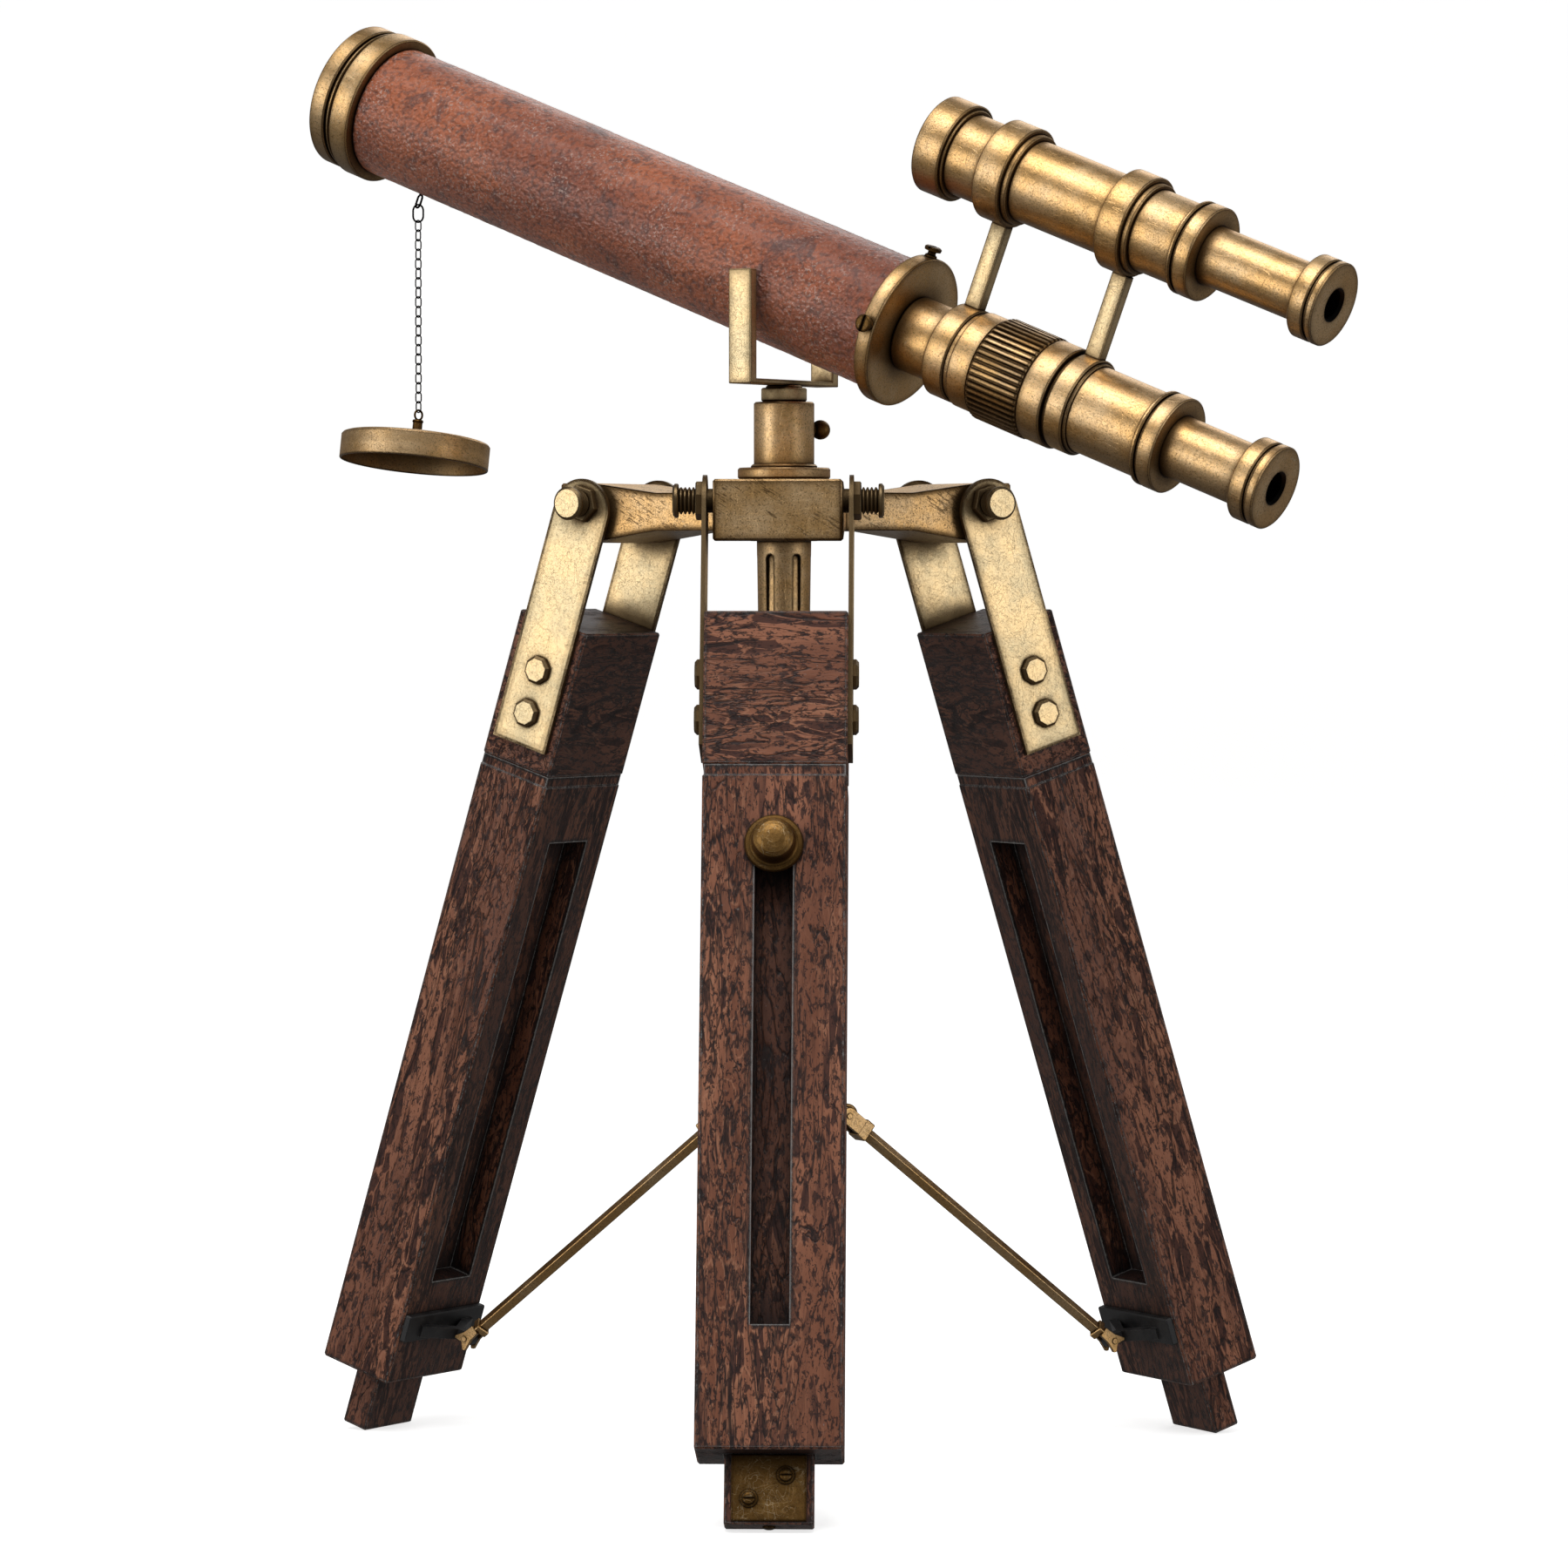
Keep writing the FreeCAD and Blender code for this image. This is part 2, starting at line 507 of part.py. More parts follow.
def focus_ring():
    """Knurled sleeve turning between the front and rear eyepiece bodies."""
    flutes, top, root = 48, 15.2, 14.55
    pts = []
    for i in range(flutes):
        for part, r in ((0.0, top), (0.5, top), (0.62, root), (0.88, root)):
            a = 2 * pi * (i + part) / flutes
            pts.append(V(KNURL[0], r * cos(a), r * sin(a)))
    star = Part.Face(Part.makePolygon(pts + pts[:1])).extrude(V(KNURL[1] - KNURL[0], 0, 0))
    ends = steps([(KNURL[0], KNURL[1], top)], 0.6)
    return star.common(lathe(ends, [(KNURL[0], 12.08), (KNURL[1], 12.08)]))


def drawtube(r, x0, x1):
    return lathe([(x0, r), (x1, r)], [(x0, r - 1.2), (x1, r - 1.2)])


def eyecup(r_tube, x0, x1):
    """Stepped cup on the end of a drawtube, with a round eye hole."""
    outer = steps([(x0, x0 + 4.9, 12.1), (x0 + 4.9, x0 + 5.7, 11.3), (x0 + 5.7, x1, 12.1)], 0.35)
    bore = [(x0, r_tube - 1.2), (x1 - 3.4, r_tube - 1.2), (x1 - 3.4, 4.3), (x1 - 0.9, 4.3), (x1, 5.0)]
    return lathe(outer, bore)


def finder_body():
    outer = steps([(35.4, 44.4, 14.3), (44.4, 45.2, 13.2), (45.2, 56.8, 12.0), (56.8, 65.7, 14.7),
                   (65.7, 67.6, 13.3), (67.6, 98.8, 11.9), (98.8, 106.9, 14.7), (106.9, 108.8, 13.3),
                   (108.8, 122.5, 12.0), (122.5, 123.8, 13.7), (123.8, 124.6, 12.8),
                   (124.6, 129.3, 13.7)], 0.35)
    bore = [(35.4, 12.9), (36.0, 12.4), (38.6, 12.4), (38.6, 10.4), (118.0, 10.4), (118.0, 8.56),
            (129.3, 8.56)]
    return lathe(outer, bore)


def finder_posts():
    posts = []
    for x, r_low, r_top in ((62.9, 13.9, 14.7), (104.6, 14.2, 14.7)):
        post = box(x - 2.6, x + 2.6, -2.0, 2.0, 10, FINDER_UP - 12)
        post = post.makeChamfer(0.3, [e for e in post.Edges if abs(e.Length - (FINDER_UP - 22)) < 0.01])
        post = post.cut(lathe([(x - 9, r_low), (x + 9, r_low)]))
        upper = lathe([(x - 9, r_top), (x + 9, r_top)])
        upper.translate(V(0, 0, FINDER_UP))
        posts.append(post.cut(upper))
    return posts


def in_tube(shapes, up=0.0):
    shapes = shapes if isinstance(shapes, list) else [shapes]
    lift = FreeCAD.Placement(V(0, 0, up), FreeCAD.Rotation())
    return [place(s, TUBE.multiply(lift)) for s in shapes]


save("main_tube", in_tube(main_tube()))
save("leather_cover", in_tube(leather()))
save("trunnion_pins", in_tube(trunnion_pins()))
save("objective_ring", in_tube(objective_ring()))
save("objective_lens", in_tube(lens(19.2, -159.4, -158.0, 1.8)))
save("backplate", in_tube(backplate()))
save("backplate_screws", in_tube(backplate_screws()))
save("eyepiece_front", in_tube(eyepiece_front()))
save("eyepiece_rear", in_tube(eyepiece_rear()))
save("focus_ring", in_tube(focus_ring()))
save("drawtube", in_tube(drawtube(DRAW_R, 104.0, 162.9)))
save("eyecup", in_tube(eyecup(DRAW_R, 162.9, 171.3)))
save("eye_lens", in_tube(lens(DRAW_R - 1.2, 165.2, 167.9, 1.2)))
save("finder_body", in_tube(finder_body(), FINDER_UP))
save("finder_lens", in_tube(lens(12.4, 37.6, 38.6, 1.0), FINDER_UP))
save("finder_posts", in_tube(finder_posts()))
save("finder_drawtube", in_tube(drawtube(8.5, 98.0, 161.9), FINDER_UP))
save("finder_eyecup", in_tube(eyecup(8.5, 161.9, 169.8), FINDER_UP))
save("finder_eye_lens", in_tube(lens(7.3, 163.7, 166.4, 1.2), FINDER_UP))

# ---------------------------------------------------------------- chain and lens cap
EYELET_R, EYELET_WIRE = 1.1, 0.32    # lower bend of the eyelet loop
EYELET_LENGTH = 4.0                  # eyelet loop along its centre line
EYELET_DROP = LEATHER_R + 0.4 + EYELET_LENGTH - EYELET_R   # centre of its lower bend below the tube axis
LINK_WIRE = 0.2                      # chain wire radius
LINK_HALF = 1.645                    # half length of a link along its centre line
LINK_SIDE = 1.05                     # half width of a link along its centre line
LINKS = 20
CAP_R, CAP_IN = 22.35, 21.8
CAP_LEAN = (0.091, 0.115)            # how far the hanging cap leans off level


def link(half, side, wire):
    """Oval link standing along z in the xz plane, centred on the origin."""
    straight = 2 * (half - side)
    loop = []
    for sign in (-1, 1):
        leg = cyl(wire, straight, (sign * side, 0, -straight / 2), (0, 0, 1))
        bend = Part.makeTorus(side, wire, V(0, 0, sign * straight / 2), V(0, 1, 0))
        half_space = box(-9, 9, -9, 9, straight / 2, 30)
        if sign < 0:
            half_space = box(-9, 9, -9, 9, -30, -straight / 2)
        loop += [leg, bend.common(half_space)]
    whole = loop[0]
    for piece in loop[1:]:
        whole = whole.fuse(piece)
    return whole.removeSplitter()


def eyelet():
    """Long loop under the tube that the chain hangs from, in tube coordinates."""
    loop = link(EYELET_LENGTH / 2, EYELET_R, EYELET_WIRE)
    top = -LEATHER_R - 0.4
    middle = V(EYELET_X, 0, top - EYELET_LENGTH / 2)
    loop = place(loop, FreeCAD.Placement(middle, rot((0, 0, 1), 90)))
    return loop.fuse(cyl(0.6, -17.9 - top, (EYELET_X, 0, top), (0, 0, 1)))


HANG = TUBE.multVec(V(EYELET_X, 0, -EYELET_DROP))   # centre of the eyelet's lower bend


def chain():
    """Top link, then the run of small links, hanging plumb from the eyelet."""
    big_half, big_side, big_wire = 2.6, 1.85, 0.28
    top = HANG.z - EYELET_R + EYELET_WIRE + big_wire + 0.32
    centre = top - big_half
    big = link(big_half, big_side, big_wire)
    first = place(big, FreeCAD.Placement(V(HANG.x, HANG.y, centre), rot((0, 0, 1), TUBE_AZ)))
    run = []
    z = centre - big_half + big_wire + LINK_WIRE + 0.04 - LINK_HALF
    small = link(LINK_HALF, LINK_SIDE, LINK_WIRE)
    for i in range(LINKS):
        turn = 45 if i % 2 == 0 else -45
        run.append(place(small, FreeCAD.Placement(V(HANG.x, HANG.y, z), rot((0, 0, 1), turn))))
        z -= 2 * LINK_HALF - 2 * LINK_WIRE - 0.04
    last = z + 2 * LINK_HALF - 2 * LINK_WIRE - 0.04
    return first, run, last - LINK_HALF


FIRST, RUN, CHAIN_END = chain()
RING_R, RING_WIRE = 1.45, 0.32
CAP_TOP = -7.0                       # top of the cap below the ring centre
CAP_SKIRT = 8.0                      # height of the cap
RING_Z = CHAIN_END + LINK_WIRE + RING_WIRE + 0.15 - RING_R   # centre of the cap ring
LEAN = V(CAP_LEAN[0], CAP_LEAN[1], (1 - CAP_LEAN[0] ** 2 - CAP_LEAN[1] ** 2) ** 0.5)
CAP = FreeCAD.Placement(V(HANG.x, HANG.y, RING_Z), FreeCAD.Rotation(V(0, 0, 1), LEAN))


def cap_stud():
    """Ring and stud of the cap, below the ring centre."""
    ring = Part.makeTorus(RING_R, RING_WIRE, V(0, 0, 0), V(-1, 1, 0))
    stud = lathe([(CAP_TOP - 2.9, 1.0), (CAP_TOP, 1.0), (CAP_TOP, 2.2), (CAP_TOP + 0.4, 2.2),
                  (CAP_TOP + 0.9, 1.5), (-2.4, 1.45), (-2.0, 1.7), (-1.5, 1.5)])
    stud.rotate(V(0, 0, 0), V(0, 1, 0), -90)
    return ring.fuse(stud)


def lens_cap():
    """Shallow cup, open below, that slips over the front of the objective ring."""
    top, rim = CAP_TOP, CAP_TOP - CAP_SKIRT
    outer = [(rim, CAP_R - 0.15), (rim + 0.2, CAP_R), (top - 0.9, CAP_R), (top - 0.3, CAP_R - 0.5),
             (top, CAP_R - 1.3)]
    cup = lathe(outer + [(top, 1.0)], [(rim, CAP_IN), (top - 1.4, CAP_IN), (top - 1.4, 1.0)])
    cup.rotate(V(0, 0, 0), V(0, 1, 0), -90)
    return cup


save("chain_eyelet", in_tube(eyelet()))
save("chain_top_link", FIRST)
save("chain", RUN)
save("cap_stud", place(cap_stud(), CAP))
save("lens_cap", place(lens_cap(), CAP))
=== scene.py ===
"""Looks of the brass telescope: materials, light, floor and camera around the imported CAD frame."""
import math

import bpy
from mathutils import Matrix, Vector, noise

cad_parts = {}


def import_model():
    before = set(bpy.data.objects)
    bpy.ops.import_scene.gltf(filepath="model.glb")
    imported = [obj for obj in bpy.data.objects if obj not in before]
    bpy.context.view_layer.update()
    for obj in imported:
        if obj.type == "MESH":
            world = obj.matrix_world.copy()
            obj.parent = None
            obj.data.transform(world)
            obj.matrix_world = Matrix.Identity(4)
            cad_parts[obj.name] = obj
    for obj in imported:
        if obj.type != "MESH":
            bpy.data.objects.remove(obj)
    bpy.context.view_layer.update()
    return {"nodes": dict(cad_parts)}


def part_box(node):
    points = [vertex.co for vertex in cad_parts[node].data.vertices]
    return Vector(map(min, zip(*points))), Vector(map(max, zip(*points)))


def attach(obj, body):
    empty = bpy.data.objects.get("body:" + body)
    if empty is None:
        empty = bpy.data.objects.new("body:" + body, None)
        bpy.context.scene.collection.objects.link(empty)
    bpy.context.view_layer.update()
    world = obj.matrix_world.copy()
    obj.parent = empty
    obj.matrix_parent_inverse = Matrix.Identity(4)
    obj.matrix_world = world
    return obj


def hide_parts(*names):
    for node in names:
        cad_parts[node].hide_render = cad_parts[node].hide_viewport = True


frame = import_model()

# ---------------------------------------------------------------- driving values (metres, degrees)
MM = 0.001
WORLD_AXES = ((1, 0, 0), (0, 1, 0), (0, 0, 1))
LEG_TILT = 17.77          # legs from vertical
LEG_TURNS = {"front": 0.0, "right": 120.0, "left": 240.0}
TUBE_TURN = -30.0         # direction of the eyepiece end about +Z
TUBE_SLOPE = 21.2         # objective up
TRUNNION_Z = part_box("trunnion_pins")[0].z / 2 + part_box("trunnion_pins")[1].z / 2
PIVOT_DROP = 0.065        # leg pivots, below the trunnions
HINGE_Z = TRUNNION_Z - PIVOT_DROP
CAMERA_DISTANCE = 1.8859
CAMERA_STATION = 1.625    # where the camera stands, from -Y toward +X
CAMERA_SHIFT = 0.00077    # then moved this far toward -X
CAMERA_DROP = 0.02214     # below the leg pivots
CAMERA_TURN = 1.602       # heading of the view, left of +Y
CAMERA_DIP = 1.798        # view below level
CAMERA_LENS = 149.47      # mm on the sensor below
CAMERA_SENSOR = 36.0      # mm
CAMERA_FAR = 50.0         # nothing beyond this is drawn
SEAM_ANGLE = math.radians(-62)   # leather seam around the tube, from its far side toward the top
FLOOR_GLOW = 0.72         # keeps the floor pale under soft light
WORLD_GLOW = 0.19         # light from all around
LIGHT_AIM = (0, 0, 0.26)
SOFTBOXES = {             # place, width and height, radiance
    "top": ((-0.2, -0.9, 2.2), (1.8, 1.4), 3.5),
    "left": ((-1.75, -1.0, 0.45), (1.0, 1.2), 2.1),
    "right": ((1.75, -1.0, 0.45), (0.9, 1.2), 1.8),
    "back": ((0.5, 1.9, 1.5), (1.6, 1.0), 1.3),
}


# ---------------------------------------------------------------- node helpers
class Nodes:
    """Short calls for building one material's node tree.

    Noise scales are per metre of surface. Thresholds are in the range of the noise or mask, 0 to 1.
    """

    def __init__(self, name):
        self.material = bpy.data.materials.new(name)
        self.material.use_nodes = True
        self.tree = self.material.node_tree
        self.shader = self.tree.nodes["Principled BSDF"]

    def add(self, kind, **values):
        node = self.tree.nodes.new(kind)
        for key, value in values.items():
            setattr(node, key, value)
        return node

    def put(self, socket, value):
        """Link a socket, or set a plain value."""
        if isinstance(value, bpy.types.NodeSocket):
            self.tree.links.new(value, socket)
        else:
            socket.default_value = value

    def math(self, operation, a, b=0.0, clamp=False):
        node = self.add("ShaderNodeMath", operation=operation, use_clamp=clamp)
        self.put(node.inputs[0], a)
        self.put(node.inputs[1], b)
        return node.outputs[0]

    def vector(self, operation, a, b):
        node = self.add("ShaderNodeVectorMath", operation=operation)
        self.put(node.inputs[0], a)
        self.put(node.inputs[1], b)
        return node.outputs["Value"] if operation == "DOT_PRODUCT" else node.outputs["Vector"]

    def times(self, a, b):
        return self.math("MULTIPLY", a, b)

    def plus(self, a, b):
        return self.math("ADD", a, b)

    def minus(self, a, b):
        return self.math("SUBTRACT", a, b)

    def most(self, a, b):
        return self.math("MAXIMUM", a, b)

    def dot(self, a, b):
        return self.vector("DOT_PRODUCT", a, b)

    def position(self):
        """Place on the part, in its rest pose."""
        return self.add("ShaderNodeTexCoord").outputs["Object"]

    def normal(self):
        """Direction of the surface, in its rest pose."""
        return self.add("ShaderNodeTexCoord").outputs["Normal"]

    def coords(self, axes=WORLD_AXES, scale=(1, 1, 1)):
        """Position measured along three axes, each scaled on its own."""
        where = self.position()
        joined = self.add("ShaderNodeCombineXYZ")
        for i in range(3):
            self.put(joined.inputs[i], self.times(self.dot(where, axes[i]), scale[i]))
        return joined.outputs[0]

    def noise(self, where, scale, detail=4.0, rough=0.55, distort=0.0):
        node = self.add("ShaderNodeTexNoise")
        self.put(node.inputs["Vector"], where)
        node.inputs["Scale"].default_value = scale
        node.inputs["Detail"].default_value = detail
        node.inputs["Roughness"].default_value = rough
        node.inputs["Distortion"].default_value = distort
        return node.outputs["Fac"]

    def cells(self, where, scale, feature="F1", output="Distance"):
        node = self.add("ShaderNodeTexVoronoi", feature=feature)
        self.put(node.inputs["Vector"], where)
        node.inputs["Scale"].default_value = scale
        return node.outputs[output]

    def warp(self, where, scale, amount):
        """Push positions about by a noise, so that straight patterns flow."""
        node = self.add("ShaderNodeTexNoise")
        self.put(node.inputs["Vector"], where)
        node.inputs["Scale"].default_value = scale
        node.inputs["Detail"].default_value = 3.0
        push = self.vector("SUBTRACT", node.outputs["Color"], (0.5, 0.5, 0.5))
        return self.vector("ADD", where, self.vector("MULTIPLY", push, (amount, amount, amount)))

    def span(self, value, low, high, start=0.0, end=1.0):
        """Map low..high to start..end with soft ends."""
        node = self.add("ShaderNodeMapRange", interpolation_type="SMOOTHSTEP", clamp=True)
        self.put(node.inputs["Value"], value)
        node.inputs["From Min"].default_value = low
        node.inputs["From Max"].default_value = high
        node.inputs["To Min"].default_value = start
        node.inputs["To Max"].default_value = end
        return node.outputs["Result"]

    def lines(self, where, scale, width, distort=0.3, detail=2.0):
        """Thin wandering lines: the level curve of a noise."""
        level = self.noise(where, scale, detail, 0.5, distort)
        away = self.math("ABSOLUTE", self.minus(level, 0.5))
        return self.span(away, 0.0, width, 1.0, 0.0)

    def mix(self, factor, a, b):
        node = self.add("ShaderNodeMix", data_type="RGBA", clamp_factor=True)
        self.put(node.inputs[0], factor)
        for socket, value in ((node.inputs[6], a), (node.inputs[7], b)):
            self.put(socket, (*value, 1.0) if isinstance(value, tuple) else value)
        return node.outputs[2]

    def edge(self, radius):
        """1 on sharp edges within radius, 0 on flats."""
        bevel = self.add("ShaderNodeBevel", samples=8)
        bevel.inputs["Radius"].default_value = radius
        flat = self.add("ShaderNodeNewGeometry").outputs["Normal"]
        return self.math("SUBTRACT", 1.0, self.dot(bevel.outputs[0], flat), clamp=True)

    def crevice(self, distance):
        """1 deep in corners and grooves, 0 in the open."""
        node = self.add("ShaderNodeAmbientOcclusion", samples=8)
        node.inputs["Distance"].default_value = distance
        return self.math("SUBTRACT", 1.0, node.outputs["AO"], clamp=True)

    def bump(self, height, strength, distance):
        node = self.add("ShaderNodeBump")
        node.inputs["Strength"].default_value = strength
        node.inputs["Distance"].default_value = distance
        self.put(node.inputs["Height"], height)
        return node.outputs["Normal"]

    def finish(self, **inputs):
        for name, value in inputs.items():
            socket = self.shader.inputs[name.replace("_", " ")]
            self.put(socket, (*value, 1.0) if isinstance(value, tuple) and len(value) == 3 else value)
        return self.material


def leg_axes(turn):
    """Across, inward and down-the-leg directions of a leg at rest."""
    t, a = math.radians(turn), math.radians(LEG_TILT)
    across = (math.cos(t), math.sin(t), 0)
    inward = (-math.sin(t) * math.cos(a), math.cos(t) * math.cos(a), -math.sin(a))
    down = (math.sin(t) * math.sin(a), -math.cos(t) * math.sin(a), -math.cos(a))
    return across, inward, down


def tube_axes():
    """Along, across and up directions of the telescope tube at rest."""
    t, s = math.radians(TUBE_TURN), math.radians(TUBE_SLOPE)
    along = (math.cos(s) * math.cos(t), math.cos(s) * math.sin(t), -math.sin(s))
    across = (-math.sin(t), math.cos(t), 0)
    up = tuple(Vector(along).cross(Vector(across)))
    return along, across, up


# ---------------------------------------------------------------- materials
def darkened(patina_and_shade, mid, dirt_and_shade, metal):
    """Colour of patina and painted shade with some of the metal showing through."""
    return tuple(dirt_and_shade * p + metal * m for p, m in zip(patina_and_shade, mid))


def brass(name, light, mid, patina_and_shade, shade=0.5, gloss=0.3, axes=WORLD_AXES, halo=0.5, streaks=0.25,
          border=0.0011, face=None, bore=None):
    """Aged brass: speckle, grain and scratches, patina and painted shade at joints and edges, painted shade
    on the undersides.

    shade, halo and streaks are strengths of the speckle, the patina and painted shade near edges, and the
    dark scratches.
    gloss is the roughness of the shiniest patches. border is the width of the dark edge.
    face is the direction of a plate's flats; surfaces turned away from it are darkened with painted shade.
    bore is a point on the axis of a tube that is black inside.
    """
    fresh_scratch = (0.93, 0.78, 0.52)
    inside_black = (0.004, 0.0035, 0.003)
    n = Nodes(name)
    where = n.coords(axes)
    cloud = n.noise(where, 60, 6, 0.65)
    speckle = n.noise(where, 2100, 4, 0.75)
    grain = n.noise(n.coords(axes, (80, 1500, 1500)), 1.0, 3, 0.6)

    # bright hairline scratches in three directions, in patches
    hairs = n.lines(n.coords(axes, (90, 420, 260)), 1.0, 0.005, 0.6)
    for scale in ((300, 110, 420), (230, 260, 70)):
        hairs = n.most(hairs, n.lines(n.coords(axes, scale), 1.0, 0.005, 0.8))
    bright_hair = n.times(hairs, n.span(n.noise(where, 45, 3), 0.48, 0.62))

    # short dark slanted scratches, in patches
    slanted = n.coords(((0.82, 0.2, -0.53), (0.53, 0.1, 0.84), (0, 1, 0)), (190, 2000, 650))
    streak = n.span(n.noise(slanted, 1.0, 3, 0.6, 0.4), 0.53, 0.59)
    streak = n.times(streak, n.span(n.noise(where, 90, 3), 0.51, 0.58))

    tone = n.mix(n.span(cloud, 0.36, 0.66), mid, light)
    tone = n.mix(n.span(grain, 0.4, 0.7, 0.0, 0.3), tone, mid)
    tone = n.mix(n.span(speckle, 0.5, 0.66, 0.0, shade), tone, patina_and_shade)
    tone = n.mix(n.times(streak, streaks), tone, patina_and_shade)
    tone = n.mix(n.times(bright_hair, 0.45), tone, fresh_scratch)

    # patina and painted shade: soft near joints and edges, a painted contact shadow black in the joint
    # itself, a dark line on the rim
    mottled = n.times(n.minus(cloud, 0.5), 0.35)
    soft_patina_shade = n.span(n.plus(n.crevice(0.009), mottled), 0.03, 0.42, 0.0, 0.95)
    contact_patina_shadow = n.span(n.crevice(0.0018), 0.28, 0.6)
    rim = n.times(n.span(n.edge(border), 0.008, 0.07), n.span(cloud, 0.3, 0.6, 0.6, 0.95))
    around = n.span(n.plus(n.edge(0.005), n.times(mottled, 0.15)), 0.0, 0.14, 0.0, halo)
    soft_patina_shade = n.most(soft_patina_shade, around)
    tone = n.mix(soft_patina_shade, tone, darkened(patina_and_shade, mid, 0.5, 0.16))
    tone = n.mix(n.most(contact_patina_shadow, rim), tone, darkened(patina_and_shade, mid, 0.5, 0.0))

    normal = n.normal()
    # painted shade: surfaces turned away from the plate's flats, such as its edges and the bolts' chamfers,
    # are darker
    if face:
        flat = n.math("ABSOLUTE", n.dot(normal, face))
        tone = n.mix(n.span(flat, 0.90, 0.985, 0.92, 0.0), tone, darkened(patina_and_shade, mid, 0.4, 0.12))
    if bore:
        outward = 0.0
        for axis in axes[1:]:
            away = n.minus(n.dot(n.position(), axis), Vector(axis).dot(bore))
            outward = n.plus(n.times(away, n.dot(normal, axis)), outward)
        tone = n.mix(n.span(outward, -0.003, -0.001, 1.0, 0.0), tone, inside_black)
    # painted shade: surfaces that face down are darker
    underside_shade = n.dot(normal, (0, 0, -1))
    tone = n.mix(n.span(underside_shade, 0.05, 0.95, 0.0, 0.75), tone, patina_and_shade)

    rough = n.plus(n.span(cloud, 0.3, 0.75, gloss, gloss + 0.14), n.times(soft_patina_shade, 0.2))
    rough = n.plus(rough, n.times(n.minus(speckle, 0.5), 0.3))
    height = n.plus(n.times(speckle, 0.5), n.times(grain, 0.25))
    height = n.minus(height, n.times(hairs, 0.4))
    return n.finish(Base_Color=tone, Metallic=1.0, Roughness=rough, Normal=n.bump(height, 0.4, 0.00013))


def wood(name, turn, along_leg):
    """Oiled hardwood: dark lenses with pale outlines, black veins and ticks, black borders and grey wear."""
    deep, warm, pale = (0.215, 0.078, 0.042), (0.400, 0.160, 0.088), (0.56, 0.27, 0.155)
    lens_dark, fleck_dark, pore_dark = (0.045, 0.016, 0.014), (0.036, 0.015, 0.013), (0.050, 0.020, 0.016)
    vein_black, tick_black = (0.012, 0.006, 0.006), (0.022, 0.011, 0.010)
    dirt_shade_black, end_grain_shade_dark, inner_shade_dark = (0.010, 0.006, 0.006), (0.024, 0.015, 0.014), (0.026, 0.020, 0.019)
    border_black, worn_grey = (0.016, 0.014, 0.014), (0.34, 0.33, 0.32)
    n = Nodes(name)
    across, inward, down = leg_axes(turn)
    grain_axes = (across, inward, down) if along_leg else (down, inward, across)
    where = n.coords(grain_axes, (1, 1, 0.19))
    short = n.coords(grain_axes, (1, 1, 0.42))

    # figure of the wood, drawn out along the grain
    drift = n.noise(where, 60, 4, 0.6, 0.6)
    flow = n.warp(n.warp(where, 45, 0.012), 220, 0.0035)
    gap = n.cells(flow, 430, "DISTANCE_TO_EDGE")
    pick = n.span(n.cells(flow, 430, "F1", "Color"), 0.50, 0.54)
    fleck = n.noise(short, 720, 3, 0.66, 0.6)
    zone = n.span(n.noise(where, 45, 2), 0.42, 0.60)
    lens = n.times(n.times(n.span(gap, 0.03, 0.09), pick), n.span(drift, 0.44, 0.54))
    outline = n.times(n.span(gap, 0.01, 0.05, 1.0, 0.0), zone)
    vein = n.lines(flow, 130, 0.026, 0.8, 5.0)
    fine_vein = n.times(n.lines(flow, 330, 0.045, 0.6, 4.0), zone)
    tick = n.span(n.noise(n.coords(grain_axes, (1, 1, 0.4)), 1150, 3, 0.65, 0.3), 0.575, 0.62)
    fleck_in = n.span(fleck, 0.55, 0.57)
    pore = n.span(n.noise(n.coords(grain_axes, (1, 1, 0.1)), 2400, 2, 0.6), 0.55, 0.75)
    tone = n.mix(n.span(drift, 0.36, 0.66), deep, warm)
    tone = n.mix(n.times(outline, 0.4), tone, pale)
    tone = n.mix(n.times(lens, 0.85), tone, lens_dark)
    tone = n.mix(n.times(fleck_in, 0.85), tone, fleck_dark)
    tone = n.mix(n.times(n.most(vein, fine_vein), 0.9), tone, vein_black)
    tone = n.mix(n.times(tick, 0.75), tone, tick_black)
    tone = n.mix(n.times(pore, 0.35), tone, pore_dark)

    # dirt and painted shade in corners, painted shade on the heads' tops and bottoms and on the inner faces,
    # darker end grain, black borders, grey worn edges
    ragged = n.minus(n.noise(n.coords(), 800, 4, 0.72), 0.5)
    border = n.span(n.plus(n.edge(0.0028), n.times(ragged, 0.12)), 0.015, 0.075)
    worn = n.span(n.plus(n.edge(0.0012), n.times(ragged, 0.45)), 0.06, 0.16)
    # dirt and painted shade: corners and slots darker
    dirt_and_shade = n.span(n.crevice(0.011), 0.14, 0.62)
    tone = n.mix(n.times(dirt_and_shade, 0.92), tone, dirt_shade_black)
    normal = n.normal()
    # painted shade and end grain: faces looking up or down the leg are darker, the heads' tops and bottoms
    # and the legs' cut ends
    end_grain_and_shade = n.math("ABSOLUTE", n.dot(normal, down))
    end_grain_and_shade = n.span(end_grain_and_shade, 0.9, 0.98, 0.0, 0.8)
    tone = n.mix(end_grain_and_shade, tone, end_grain_shade_dark)
    # painted shade: faces turned inward, toward the tripod's axis, are darker
    inner_face_shade = n.span(n.dot(normal, inward), 0.6, 0.95, 0.0, 0.58)
    tone = n.mix(inner_face_shade, tone, inner_shade_dark)
    tone = n.mix(n.times(border, 0.9), tone, border_black)
    tone = n.mix(n.times(worn, 0.85), tone, worn_grey)

